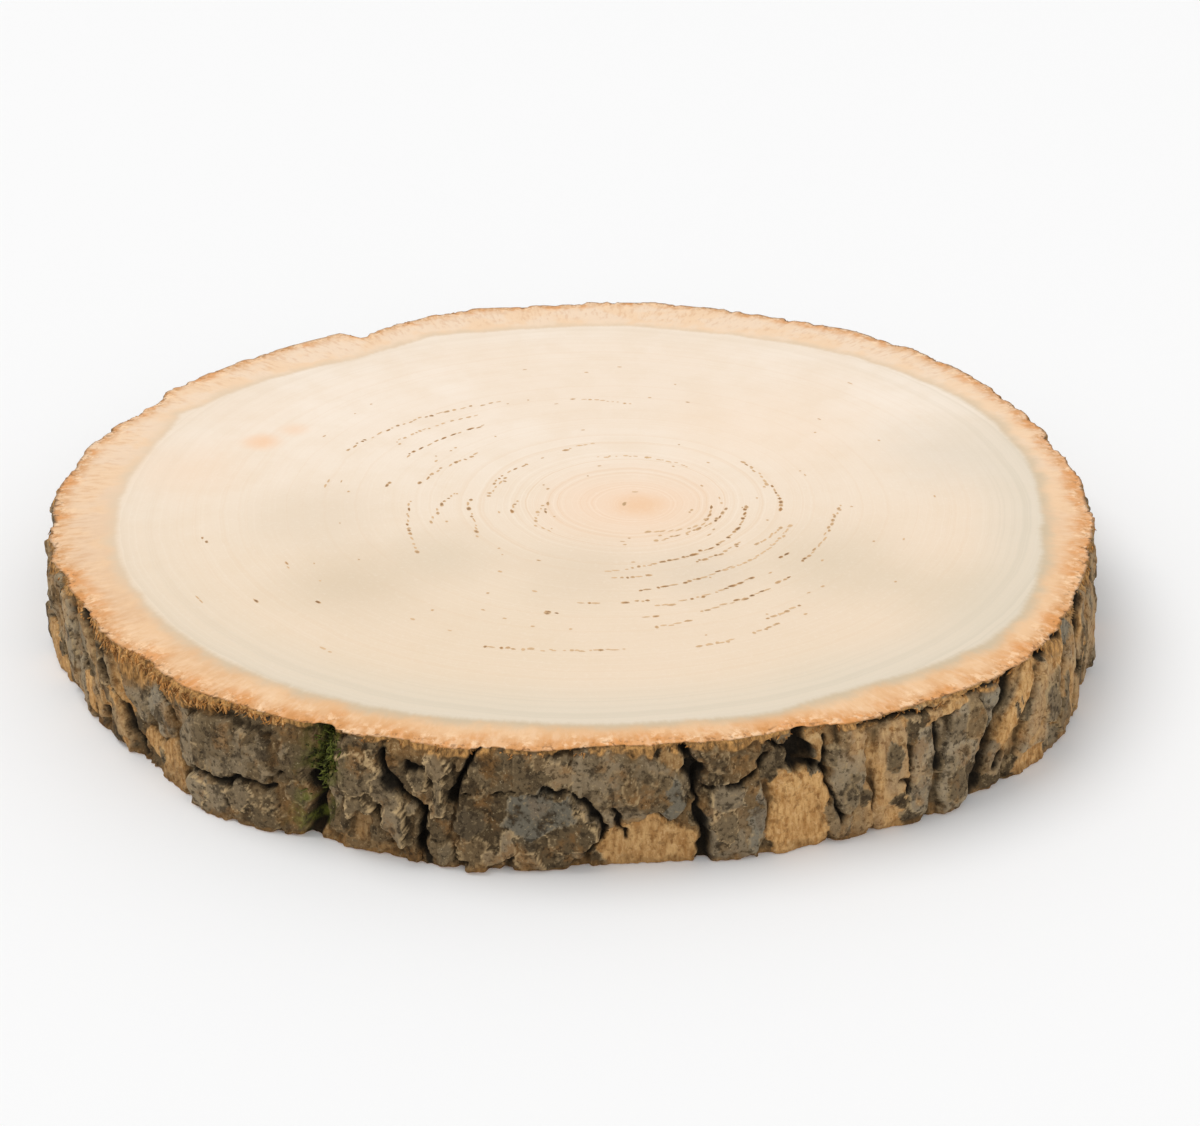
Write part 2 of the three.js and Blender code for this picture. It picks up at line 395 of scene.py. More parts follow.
def lay_flake(at, height, wide, tall, lean, thick, grey, tan, lichen, rise, worn):
    """Lays a loose flake on the bark, level with what is under its middle and rising to
    the sides it has come away at. Its own edge is worn paler than its face."""
    out, sideways, lengthways = patch(at, height, wide, tall, lean, 6)
    under = bark["relief"][out < 0.8].mean() if (out < 0.8).any() else 0.0
    inwards = (1 - out) * min(wide, tall) / 2
    level = under + thick + rise[0] * sideways + rise[1] * lengthways
    level = np.where(inwards > 0, level, -9)
    covers = level > bark["relief"]
    edge = worn * (1 - ease(inwards, 0.15, 0.5))
    # A painted shadow lies on the bark just outside a raised flake.
    shadow = ease(out, 1.22, 1.0) * ~covers * (bark["relief"] < level.max() - 0.4)
    blend_in(covers, relief=level, grey=grey, tan=tan, lichen=lichen, worn=edge, crack=0)
    bark["crack"] = np.maximum(bark["crack"], 0.45 * min(thick, 1) * shadow)


FLAKES = 330  # small flakes, anywhere on the bark
chance = np.random.default_rng(12)
for _ in range(FLAKES):
    size = chance.uniform(1.6, 6.5)
    lay_flake(
        chance.uniform(0, 360),
        chance.uniform(0, TALL),
        size * chance.uniform(0.6, 1.1),
        size * chance.uniform(0.8, 1.6),
        chance.uniform(-15, 25),
        chance.uniform(0.2, 0.55),
        chance.uniform(0.2, 0.65),
        chance.choice([0.0, 0.0, 0.1, 0.3]),
        chance.choice([0.0, 0.0, 0.1, 0.3]),
        (chance.uniform(-0.5, 0.5), chance.uniform(-0.5, 0.5)),
        chance.choice([0.1, 0.2, 0.3, 0.6]),
    )

# The flakes that stand out at the front, from left to right.
for flake in [
    (207.8, 13, 6, 10, 22, 0.5, 0.7, 0.0, 0.3, (0.6, 0), 0.7),
    (217.0, 16, 3.5, 8, 24, 0.6, 0.55, 0.3, 0, (0.6, 0), 0.8),
    (226.4, 20, 4.5, 5, 20, 0.5, 0.75, 0, 0.6, (0, 0.3), 0.4),
    (233.2, 4.0, 7, 8, 10, 0.8, 0.68, 0.05, 0.1, (-1.0, 0.6), 1.0),
    (238.0, 6.0, 6, 6, -10, 0.7, 0.55, 0.1, 0, (-0.8, 0.8), 0.9),
    (241.0, 3.0, 6, 6, 0, 0.5, 0.42, 0, 0.1, (-0.4, 0.6), 0.6),
    (244.2, 9, 3.5, 5, 0, 0.5, 0.4, 0.1, 0, (0.4, 0), 0.5),
    (253.1, 13.4, 4.8, 16, 20, 0.9, 0.55, 0, 0, (0.9, -0.2), 1.0),
    (254.0, 8.0, 4.4, 7, 14, 1.1, 0.6, 0.05, 0, (0.8, -0.4), 1.0),
    (250.4, 17.2, 7.6, 9, 4, 1.2, 0.5, 0.12, 0, (0.3, -0.7), 0.9),
    (247.9, 11.5, 3, 8, 4, 0.9, 0.6, 0.15, 0, (-0.3, 0.3), 0.9),
    (250.6, 10.2, 7, 3.4, -12, 0.8, 0.5, 0.1, 0, (0.2, -0.9), 1.0),
    (255.7, 17.6, 3.4, 4.5, 20, 1.0, 0.5, 0.1, 0, (-0.8, -0.5), 1.0),
    (257.5, 20.6, 5, 4.6, 30, 1.5, 0.55, 0.25, 0, (1.0, 0.2), 1.0),
    (258.0, 14.6, 3.6, 9, 8, 1.3, 0.52, 0, 0.1, (0.7, -0.4), 0.9),
    (261.6, 4.0, 5, 5, 0, 0.5, 0.4, 0.25, 0, (0.3, 0.5), 0.5),
    (267.2, 12.4, 13.5, 9.5, -6, 0.5, 0.42, 0, 0.95, (0.3, -0.2), 0.3),
    (270.0, 8.0, 12, 8, -24, 0.6, 0.34, 0.05, 0, (0.9, -0.4), 1.0),
    (266.5, 2.4, 5, 4, 0, 0.6, 0.55, 0.3, 0, (0, 0.8), 0.8),
    (263.4, 2.0, 4, 4, 10, 0.6, 0.6, 0.3, 0, (0, 0.6), 0.6),
    (278.9, 14.0, 6, 8, -6, 0.3, 0.5, 0, 0.85, (0.3, 0), 0.3),
    (279.4, 21.4, 5, 5, 0, 1.0, 0.3, 0.5, 0, (1.0, 0), 0.8),
    (282.0, 9, 4, 5, 0, 0.6, 0.3, 0, 0.1, (0.5, 0), 0.4),
    (283.4, 21.6, 6, 4, -10, 0.6, 0.3, 0.2, 0, (0, 0), 0.4),
    (284.8, 13.4, 6, 7, 0, 0.7, 0.6, 0.05, 0.3, (-1.0, 0.5), 0.9),
    (284.4, 7.5, 5, 8, 8, 0.5, 0.5, 0.2, 0.2, (-0.6, 0.3), 0.8),
    (287.2, 8, 3.2, 14, 0, 0.5, 0.7, 0, 0.9, (0, 0), 0.3),
    (293.0, 20, 3, 6, 0, 0.7, 0.4, 0.6, 0, (0.6, 0), 0.7),
    (295.0, 18, 3, 6, 8, 0.6, 0.5, 0, 0.2, (0.4, 0), 0.6),
    (296.2, 9.5, 3, 6, -8, 0.6, 0.55, 0, 0.2, (0.4, 0), 0.4),
    (303.2, 6.0, 6.5, 7, 0, 0.4, 0.7, 0, 0.4, (-0.5, 0), 0.6),
    (307.6, 6.0, 5, 9, 10, 0.5, 0.5, 0, 0.1, (0.4, 0), 0.5),
    (309.8, 17.5, 5, 8, 12, 0.5, 0.45, 0.3, 0, (0.4, 0), 0.5),
    (321.0, 12.5, 7, 10, 14, 0.6, 0.55, 0.2, 0.1, (-0.6, 0), 0.8),
    (324.6, 5.0, 6, 7, 6, 0.5, 0.5, 0.3, 0, (0.4, 0), 0.7),
    (327.4, 21.4, 5.5, 7, 10, 0.8, 0.8, 0, 0.8, (0.3, 0), 0.5),
    (334.6, 8.0, 5, 9, 12, 0.6, 0.5, 0.2, 0, (0.4, 0), 0.8),
    (341.4, 14, 4, 8, 8, 0.6, 0.5, 0.2, 0.1, (0.4, 0), 0.8),
    (262.0, 0.4, 3.4, 3.4, 0, 2.4, 0.35, 0.4, 0, (0, 0), 0),
]:
    lay_flake(*flake)

# Tan and brown places where plates have come away and the fibre under them shows.
# Each is: degrees, height, width, height of the patch, lean, how tan, depth of its floor.
for at, height, wide, tall, lean, tan, floor_level in [
    (212.9, 6.5, 3.6, 11, 24, 1.0, 0.4),
    (218.6, 11.2, 1.8, 5, 22, 0.9, 0.3),
    (224.6, 5.5, 5, 6, 20, 0.7, -0.7),
    (237.5, 22.4, 13, 4, 0, 0.15, -1.7),
    (250.8, 5.6, 6, 6, 10, 0.45, -0.7),
    (277.2, 3, 18, 11.5, -8, 0.66, -0.3),
    (291.6, 5.2, 9.5, 19, 3, 0.95, -0.3),
    (289.8, 19.5, 8, 7, 0, 0.15, -1.4),
    (318.2, 1.8, 8, 5, 10, 0.8, -0.5),
    (62, 6, 24, 16, 0, 0.7, -0.8),
    (96, 15, 7, 22, 8, 0.6, -0.6),
    (131, 19, 14, 12, 0, 0.5, -0.8),
    (163, 5, 20, 13, 5, 0.7, -0.7),
    (190, 14, 8, 20, -10, 0.6, -0.6),
    (352, 20, 12, 11, 0, 0.6, -0.8),
    (24, 10, 8, 18, 6, 0.7, -0.6),
]:
    out, _, _ = patch(at, height, wide, tall, lean)
    bare = ease(out, 1.0, 0.9)
    grooves = 0.16 * mottle(1.1, 9, 9) + 0.14 * mottle(3, 5, 10)
    blend_in(bare, relief=floor_level + grooves, tan=tan, grey=0.5, lichen=0, worn=0, crack=0)

# The crack that the moss lives in, as (degrees, height) places from its foot up.
MOSS_CRACK = [(245.2, -2), (245.7, 6), (246.8, 19), (247.2, 27)]

# Cracks, each a width and a depth with a run of (degrees, height) places.
for width, depth, route in [
    (4.4, 4.2, MOSS_CRACK[::-1]),
    (3.4, 3.6, [(256.9, 11), (257.0, 4)]),
    (1.4, 2.0, [(257.0, 4), (257.8, -2)]),
    (2.4, 3.2, [(261.0, 23), (260.0, 18), (259.5, 14)]),
    (1.2, 2.4, [(262.8, 26), (261.0, 22.8)]),
    (0.9, 1.2, [(261.0, 16), (264.5, 16.6), (268.5, 16.8), (271.0, 14.5)]),
    (1.6, 2.6, [(252.8, 21.6), (253.8, 16), (255.5, 12.6), (256.6, 11)]),
    (2.0, 2.6, [(255.1, 20.4), (255.6, 20.1)]),
    (1.1, 1.8, [(274.5, 13), (275.0, 8), (275.4, 5)]),
    (1.4, 1.8, [(271.2, 14.5), (272.6, 10.8), (273.8, 7.6), (271.6, 2.8)]),
    (3.2, 2.4, [(281.0, 19), (282.0, 12), (282.6, -2)]),
    (1.4, 2.4, [(282.6, 15.0), (285.4, 17.0), (288.6, 19)]),
    (1.6, 2.2, [(280.4, 24), (281.6, 20), (281.2, 16)]),
    (3.2, 3.4, [(289.0, 23), (290.2, 20.5), (291.4, 17), (293.0, 16.4)]),
    (3.4, 3.4, [(291.4, 24.6), (291.0, 21.8), (292.2, 19.6)]),
    (1.6, 2.0, [(294.0, 22), (294.2, 12), (295.4, 5)]),
    (0.9, 2.6, [(297.0, 24.2), (301.5, 23.7), (306.6, 23.9), (311, 23.4), (314.2, 23.8)]),
    (1.6, 1.5, [(306.0, 20), (305.0, 9), (304.0, -2)]),
    (1.0, 1.0, [(301.0, 10.5), (301.9, 9.4), (301.8, 7.6)]),
    (3.2, 2.6, [(314.8, 25), (313.4, 19), (311.8, 11), (309.0, -2)]),
    (2.0, 1.8, [(318.8, 21), (316.2, 14.5), (313.6, 9), (312.6, 5)]),
    (3.0, 3.0, [(319.6, 24.2), (321.4, 22.6)]),
    (3.2, 3.2, [(323.6, 24.8), (324.8, 22.8)]),
    (2.0, 2.6, [(329.8, 11.6), (331.0, 9.4)]),
    (1.4, 1.6, [(325.6, 18), (323.4, 12), (322.0, 6)]),
    (2.2, 1.8, [(333.4, 27), (330.0, 15), (326.8, -2)]),
    (2.2, 2.0, [(343.2, 25), (340.0, 10), (337.6, -2)]),
    (1.6, 2.4, [(211.4, 26), (217.4, 17.5), (220.6, 8), (222.4, 1)]),
    (1.5, 2.2, [(208.6, 22), (212.8, 14), (216.4, 4), (218.0, -2)]),
    (2.4, 2.6, [(220.8, 5.5), (222.2, 3.5)]),
    (1.6, 2.0, [(203.4, 22), (205.8, 10), (207.4, -2)]),
    (1.4, 1.8, [(232.0, 8.6), (236.5, 8.0), (238.0, 9.8), (242.0, 9.0)]),
    (2.2, 3.0, [(12.0, 27), (14.6, 12), (16.2, -2)]),
    (2.4, 3.2, [(44.2, 27), (43.0, 13), (41.8, -2)]),
    (2.0, 2.6, [(76.0, 27), (78.4, 12), (80.2, -2)]),
    (2.4, 3.0, [(105.6, 27), (104.0, 13), (102.4, -2)]),
    (2.0, 2.6, [(122.0, 27), (124.4, 14), (123.0, -2)]),
    (2.4, 2.8, [(148.0, 27), (149.4, 12), (150.6, -2)]),
    (2.2, 2.6, [(179.6, 27), (178.0, 12), (176.8, -2)]),
    (1.8, 2.4, [(192.0, 27), (195.4, 12), (197.0, -2)]),
]:
    nearest = np.full_like(along, 99.0)
    for (from_turn, from_up), (to_turn, to_up) in zip(route, route[1:]):
        away, above = across_from(from_turn), rough_up - from_up
        run = math.radians(to_turn - from_turn) * TRUNK
        rise = to_up - from_up
        share = np.clip((away * run + above * rise) / (run**2 + rise**2), 0, 1)
        nearest = np.minimum(nearest, np.hypot(away - share * run, above - share * rise))
    wavering = width * (0.75 + 0.5 * mottle(3.4, 3.4, 12))
    cut = 1 - ease(nearest, 0.25 * wavering, 0.55 * wavering)
    cut *= 0.35 + 0.65 * ease(up, 0, 3.5)
    bark["relief"] -= cut * (depth + np.minimum(bark["relief"], 1.2) * 0.4)
    # The middle of a crack is painted nearly black: painted shade.
    dark = 1 - ease(nearest, 0.4 * wavering, 0.62 * wavering)
    bark["crack"] = np.maximum(bark["crack"], dark)
    bark["worn"] *= 1 - cut

# Under the sawn rims the bark has frayed into short brown fibres, and the rims are chipped.
to_top = TALL - up
chips = np.clip(wander(5, 13) + 0.7 * wander(1.9, 15), 0, 1)
frayed = 0.8 + 3.0 * np.clip(wander(11, 16) + 0.3, 0, 1) + 1.6 * chips
frayed *= round_trunk([
    (0, 0.8), (195, 0.9), (208, 1.2), (216, 1.8), (232, 1.5), (243, 0.9), (258, 0.6),
    (290, 0.5), (300, 0.8), (325, 1.2), (340, 1.3), (350, 0.8),
])
torn_fibre = round_trunk([(219, 0), (223, 4.5), (231, 5.5), (236, 3), (240, 0)])
torn_ends = 0.9 + 0.6 * wander(3.2, 29) + 0.4 * wander(1.1, 30)
frayed = np.maximum(frayed, torn_fibre * torn_ends)
fringe = 1 - ease(to_top + 0.9 * mottle(1.6, 1.6, 18), 0.6 * frayed, frayed)
low_fringe = 0.6 * (1 - ease(up + mottle(1.8, 1.6, 20), 0.5, 1.6))
fringe = np.maximum(fringe, low_fringe) * (1 - 0.7 * bark["crack"])
strands = 0.4 * mottle(0.9, 3.0, 23) + 0.25 * mottle(0.7, 1.0, 24)
strands *= 1 + 0.3 * torn_fibre
blend_in(0.75 * fringe, relief=strands - 0.25 + 0.2 * torn_fibre)
blend_in(fringe, worn=0, lichen=0)
bark["relief"] += 0.12 * mottle(1.2, 1.1, 17)

# How far the rim, and the foot of the bark below it, stand out from the smooth outline.
rim_wander = round_trunk([
    (3, -0.4), (9, -1.3), (21, -1.6), (33, -0.8), (45, -1.4), (51, 0), (57, -0.7), (69, 0),
    (81, 0.6), (93, 0.1), (99, -0.7), (105, 1.5), (111, 1.4), (117, -0.2), (121.5, -2.2),
    (123.3, -3.6), (124.7, 2.0), (129, 2.1), (135, 1.3), (147, 0.5), (153, 0.8), (159, -0.2),
    (165, 0.7), (171, 1.6), (183, 0.9), (207, -0.1), (219, 0.4), (225, -2.0), (231, -0.8),
    (240, -1.6), (249, -1.2), (255, -1), (261, -0.2), (267, 0.6), (279, 0.2), (285, 0.7),
    (291, -1.4), (303, -0.7), (315, 0.3), (321, -0.4), (327, -1.7), (333, -2.6), (345, -1.4),
])
foot_flare = round_trunk([
    (60, 1.6), (130, 1.2), (200, 1.5), (214, 1.6), (222, 0.2), (230, 0), (236, 3), (241, 2.6),
    (246, 1.2), (252, 1.7), (256, 3.2), (276, 3), (290, 3.6), (294, 1.6), (299, 1.0),
    (303, 2.9), (307, 2.6), (310, 0.8), (314, 2), (319, 3.2), (324, 2.8), (331, 1), (340, 0.6),
])
rim_steps = wander(7, 25) + 0.3 * wander(2.4, 26)
rim_wander += 0.45 * np.round(1.6 * rim_steps) - 0.3 * chips


def blurred(values, reach):
    """The values smoothed over a few steps every way, round the trunk and up it."""
    for _ in range(reach):
        values = (np.roll(values, 1, 1) + values + np.roll(values, -1, 1)) / 3
        below = np.vstack([values[:1], values[:-1]])
        above = np.vstack([values[1:], values[-1:]])
        values = (below + values + above) / 3
    return values


bark["relief"] = (bark["relief"] + blurred(bark["relief"], 1)) / 2
bark["crack"] = blurred(bark["crack"], 1)

height_share = up / TALL
at_rim = 1 - ease(to_top, 0.0, 0.7 + 1.1 * chips)
shape = rim_wander * (0.35 + 0.65 * height_share) + foot_flare * (1 - height_share) ** 0.8
bark_radius = outline + shape + bark["relief"] * (1 - 0.75 * at_rim) - 0.25 * at_rim
core_radius = outline - TOWARDS_CORE
rim_drop = 0.12 + 0.45 * chips
heights = up - at_rim * rim_drop

# How far each place lies below its surroundings, which the bark's colour darkens as painted
# shade, and how far it stands out as a crest.
hollow_shade = np.clip((blurred(bark_radius, 7) - bark_radius) * 1.1, 0, 1)
crest = np.clip((bark_radius - blurred(bark_radius, 1)) * 4 - 0.25, 0, 1)
bark["worn"] = np.maximum(bark["worn"], 0.4 * crest * ease(mottle(2.6, 2.6, 27), 0, 0.7))


def ring_points(radius, height):
    """One ring of points round the trunk, in metres."""
    spread = np.broadcast_to(height, radius.shape)
    return np.stack([radius * np.cos(turns), radius * np.sin(turns), spread], -1) * MM


def make_piece(name, points, faces, material, stands_for, uvs=None):
    """Makes a mesh piece that rides with the slice and stands for one of its nodes."""
    mesh = bpy.data.meshes.new(name)
    mesh.from_pydata(np.asarray(points).reshape(-1, 3).tolist(), [], faces)
    mesh.polygons.foreach_set("use_smooth", [True] * len(mesh.polygons))
    if uvs is not None:
        layer = mesh.uv_layers.new(name="OFBake")
        layer.data.foreach_set("uv", np.asarray(uvs, np.float32).ravel())
    mesh.materials.append(material)
    piece = bpy.data.objects.new(name, mesh)
    bpy.context.collection.objects.link(piece)
    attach(piece, "root")
    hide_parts(stands_for)
    return piece


def give(piece, name, values):
    """Stores one number for each point of a piece, for its material to read."""
    layer = piece.data.attributes.new(name, "FLOAT", "POINT")
    layer.data.foreach_set("value", np.asarray(values, np.float32).ravel())


def stored(tree, name):
    """A number that the piece holds for each of its points."""
    return shade(tree, "Attribute", attribute_name=name).outputs["Fac"]


def over(tree, below, colour, share):
    """One colour laid over another, by this share."""
    return shade(tree, "Mix", {0: share, 6: below, 7: colour}, data_type="RGBA").outputs[2]


def coated(tree, colour, coats):
    """A colour with coats laid over it. Each coat is a tint, the mask that it shows in, and
    how strongly it shows."""
    for tint, mask, most in coats:
        colour = over(tree, colour, paint(*tint), times(tree, mask, most))
    return colour


def figure(tree, operation, first, second=0.0, third=0.0):
    """One step of arithmetic on values that change over the surface."""
    wires = {0: first, 1: second, 2: third}
    return shade(tree, "Math", wires, operation=operation).outputs[0]


def times(tree, first, second):
    """Two values multiplied."""
    return figure(tree, "MULTIPLY", first, second)


def between(tree, value, low, high):
    """0 where the value is at low, 1 where it is at high, and a smooth turn between."""
    wires = {"Value": value, "From Min": low, "From Max": high}
    made = shade(tree, "MapRange", wires, clamp=True, interpolation_type="SMOOTHSTEP")
    return made.outputs["Result"]


def grain_group():
    """Patches of grain: how high each place in the grain is, and a mask of its upper part."""
    group = bpy.data.node_groups.new("grain", "ShaderNodeTree")
    for name, kind in [("Place", "NodeSocketVector"), ("Size", "NodeSocketFloat"),
                       ("From", "NodeSocketFloat"), ("To", "NodeSocketFloat")]:
        group.interface.new_socket(name, in_out="INPUT", socket_type=kind)
    for name in ("Height", "Mask"):
        group.interface.new_socket(name, in_out="OUTPUT", socket_type="NodeSocketFloat")
    given = group.nodes.new("NodeGroupInput").outputs
    result = group.nodes.new("NodeGroupOutput").inputs
    scale = figure(group, "DIVIDE", 1 / MM, given["Size"])
    wires = {"Vector": given["Place"], "Scale": scale, "Detail": 4.0, "Roughness": 0.62}
    height = shade(group, "TexNoise", wires).outputs["Fac"]
    group.links.new(height, result["Height"])
    group.links.new(between(group, height, given["From"], given["To"]), result["Mask"])
    return group


grain = grain_group()


def grained(tree, place, size, start, end):
    """The grain at this size in millimetres, as (height, mask)."""
    wires = {"Place": place, "Size": size, "From": start, "To": end}
    made = shade(tree, "Group", wires, node_tree=grain)
    return made.outputs["Height"], made.outputs["Mask"]


def bark_material():
    """Grey-brown plates, tan bare fibre, frayed rims, worn edges and lichen, with painted
    shade darkening the hollows and taking the cracks nearly to black.
    """
    material, tree, surface = new_material("weathered_bark", 0.92, 0.2)
    here = shade(tree, "TexCoord").outputs["Object"]

    coarse, coarse_dark = grained(tree, here, 3.4, 0.5, 0.36)
    fine, fine_dark = grained(tree, here, 1.1, 0.47, 0.36)
    _, fine_light = grained(tree, here, 1.1, 0.56, 0.68)
    _, specks = grained(tree, here, 0.55, 0.63, 0.72)
    _, rust = grained(tree, here, 6.0, 0.52, 0.66)
    crusts = between(tree, coarse, 0.3, 0.5)
    lichen = times(tree, between(tree, stored(tree, "lichen"), 0.1, 1.0), crusts)

    ramp = shade(tree, "ValToRGB", {"Fac": between(tree, stored(tree, "grey"), 0.05, 0.95)})
    stops = ramp.color_ramp.elements
    stops[0].color = paint(72, 57, 37)
    stops[1].color = paint(166, 148, 120)
    stops.new(0.45).color = paint(110, 92, 66)
    colour = coated(tree, ramp.outputs["Color"], [
        ((140, 99, 53), rust, 0.55),
        ((52, 40, 25), coarse_dark, 0.75),
        ((112, 113, 104), lichen, 0.55),
        ((46, 36, 22), fine_dark, 0.7),
        ((166, 142, 104), fine_light, 0.45),
        ((196, 178, 142), specks, 0.6),
    ])

    strands = shade(tree, "Mapping", {"Vector": here, "Scale": (1, 1, 0.3)}).outputs["Vector"]
    strand, strand_light = grained(tree, strands, 0.9, 0.3, 0.72)
    fibre = over(tree, paint(174, 125, 70), paint(222, 177, 117), strand_light)
    fibre = coated(tree, fibre, [
        ((122, 82, 42), fine_dark, 0.5),
        ((236, 194, 140), fine_light, 0.45),
    ])
    colour = over(tree, colour, fibre, between(tree, stored(tree, "tan"), 0.15, 0.85))
    fringe = stored(tree, "fringe")
    strand_share = times(tree, strand_light, between(tree, fringe, 0.3, 1.0))
    frayed = over(tree, paint(88, 62, 32), paint(220, 164, 96), strand_share)
    colour = over(tree, colour, frayed, times(tree, fringe, 0.85))

    worn = times(tree, stored(tree, "worn"), between(tree, fine, 0.34, 0.52))
    colour = coated(tree, colour, [
        ((206, 176, 130), worn, 0.85),
        # Painted shade darkens the hollows.
        ((44, 34, 20), between(tree, stored(tree, "hollow_shade"), 0.1, 0.9), 0.8),
        # Cracks, open joints and the strip beside raised flakes go nearly black: painted shade.
        ((22, 18, 11), between(tree, stored(tree, "crack"), 0.2, 0.9), 0.94),
    ])
    _, moss_patches = grained(tree, here, 1.6, 0.4, 0.6)
    moss = over(tree, paint(50, 54, 20), paint(112, 116, 44), moss_patches)
    colour = over(tree, colour, moss, times(tree, stored(tree, "moss_stain"), 0.85))
    tree.links.new(colour, surface.inputs["Base Color"])

    bumps = figure(tree, "MULTIPLY_ADD", coarse, 1.5, fine)
    bumps = figure(tree, "ADD", bumps, times(tree, strand, 0.5))
    wires = {"Height": bumps, "Strength": 0.9, "Distance": 0.7 * MM}
    tree.links.new(shade(tree, "Bump", wires).outputs["Normal"], surface.inputs["Normal"])
    return material


# The bark is a closed band: its rough outside, and a plain inner side hidden in the slice.
LIP = 1.2  # mm, how far below each rim the hidden inner side starts
rings = [ring_points(bark_radius[row], heights[row]) for row in range(ROWS + 1)]
rings.append(ring_points(core_radius, TALL - LIP))
rings.append(ring_points(core_radius, LIP))

STRIPS = 5  # the band is folded into this many strips on its bake map
MARGIN = 0.008
strip_columns = COLUMNS // STRIPS
# How far up its strip each ring of points lies.
levels = np.append(np.linspace(0, 0.93, ROWS + 1), [0.965, 0.985, 1.0])
faces, uvs = [], []
for row in range(len(rings)):
    for column in range(COLUMNS):
        right = (column + 1) % COLUMNS
        low, high = row * COLUMNS, (row + 1) % len(rings) * COLUMNS
        faces.append((low + column, low + right, high + right, high + column))
        strip, place = divmod(column, strip_columns)
        left_u = MARGIN + (1 - 2 * MARGIN) * place / strip_columns
        right_u = MARGIN + (1 - 2 * MARGIN) * (place + 1) / strip_columns
        low_v = (strip + MARGIN + (1 - 2 * MARGIN) * levels[row]) / STRIPS
        high_v = (strip + MARGIN + (1 - 2 * MARGIN) * levels[row + 1]) / STRIPS
        uvs.extend([(left_u, low_v), (right_u, low_v), (right_u, high_v), (left_u, high_v)])

outer_bark = make_piece("outer_bark", rings, faces, bark_material(), "wood_slice", uvs)
outer_bark.data.set_sharp_from_angle(angle=math.radians(38))

# The moss has stained the bark down the crack that it lives in.
crack_heights = [height for _, height in MOSS_CRACK]
crack_degrees = [degrees for degrees, _ in MOSS_CRACK]
from_crack = (along - np.radians(np.interp(up, crack_heights, crack_degrees)) * TRUNK) / 3.6
stain = np.exp(-(from_crack**2)) * ease(
    mottle(2.2, 2.6, 19) + 0.9 * ease(up, 4, 18), 0.1, 0.9
)
for name, values in {**bark, "fringe": fringe, "hollow_shade": hollow_shade, "moss_stain": stain}.items():
    hidden = np.zeros((2, COLUMNS))
    give(outer_bark, name, np.vstack([values, hidden]))


# ---------------------------------------------------------------------------------------
# Sawn wood. Pale close-grained wood, sanded smooth, with its rings gathered round a pith
# right of the middle, and a ring of softer inner bark outside it that is grey at the wood
# and orange and torn at the rim.

PITH = (14.5, -13.5)  # mm
WOOD_MIDDLE = (2.5, -4.2)  # mm, the middle of the outermost ring
WOOD_RADIUS = 107.3

# The wood's own edge, as its distance in millimetres from the middle of the slice.
wood_edge = round_trunk([
    (0, 108.4), (16, 109.2), (27, 109.3), (38, 107.3), (49, 105.8), (60, 102.5), (73, 100),
    (84, 100), (94, 98), (104, 98), (113, 100), (121, 97), (128.5, 95.5), (141, 100.3),
    (149, 103.2), (155.5, 104.5), (159, 107.4), (162.5, 105.2), (166, 104.4), (181, 105.3),
    (197, 106.8), (208, 107.8), (226, 109.2), (252, 109.5), (265, 108.5), (278, 109.4),
    (291, 111.4), (300, 110.4), (313, 113.6), (319, 114.6), (325, 114), (338, 110.3),
    (346, 108.4),
])
wood_edge += 0.35 * wander(6, 41)
wood_edge = np.minimum(wood_edge, bark_radius[-1] - 4)

# Clouds in the wood, each a place and a reach in millimetres, a colour and a strength.
WOOD_CLOUDS = [
    (-48, -52, 22, (214, 194, 166), 0.7),
    (-30, -40, 18, (216, 198, 172), 0.65),
    (-60, -20, 22, (220, 201, 176), 0.5),
    (3, -46, 20, (218, 198, 172), 0.55),
    (28, -47, 17, (214, 197, 174), 0.5),
    (56, -42, 24, (213, 195, 168), 0.6),
    (82, -58, 22, (212, 196, 170), 0.5),
    (92, 14, 28, (218, 206, 188), 0.6),
    (14.5, -13.5, 26, (240, 204, 172), 0.6),
    (15, -13.5, 8, (234, 188, 142), 0.55),
    (-77, 21.5, 6, (240, 196, 156), 0.75),
    (-70, 29, 5, (240, 200, 164), 0.5),
    (45, 30, 34, (238, 210, 180), 0.35),
    (-96, 6, 22, (238, 208, 178), 0.45),
]


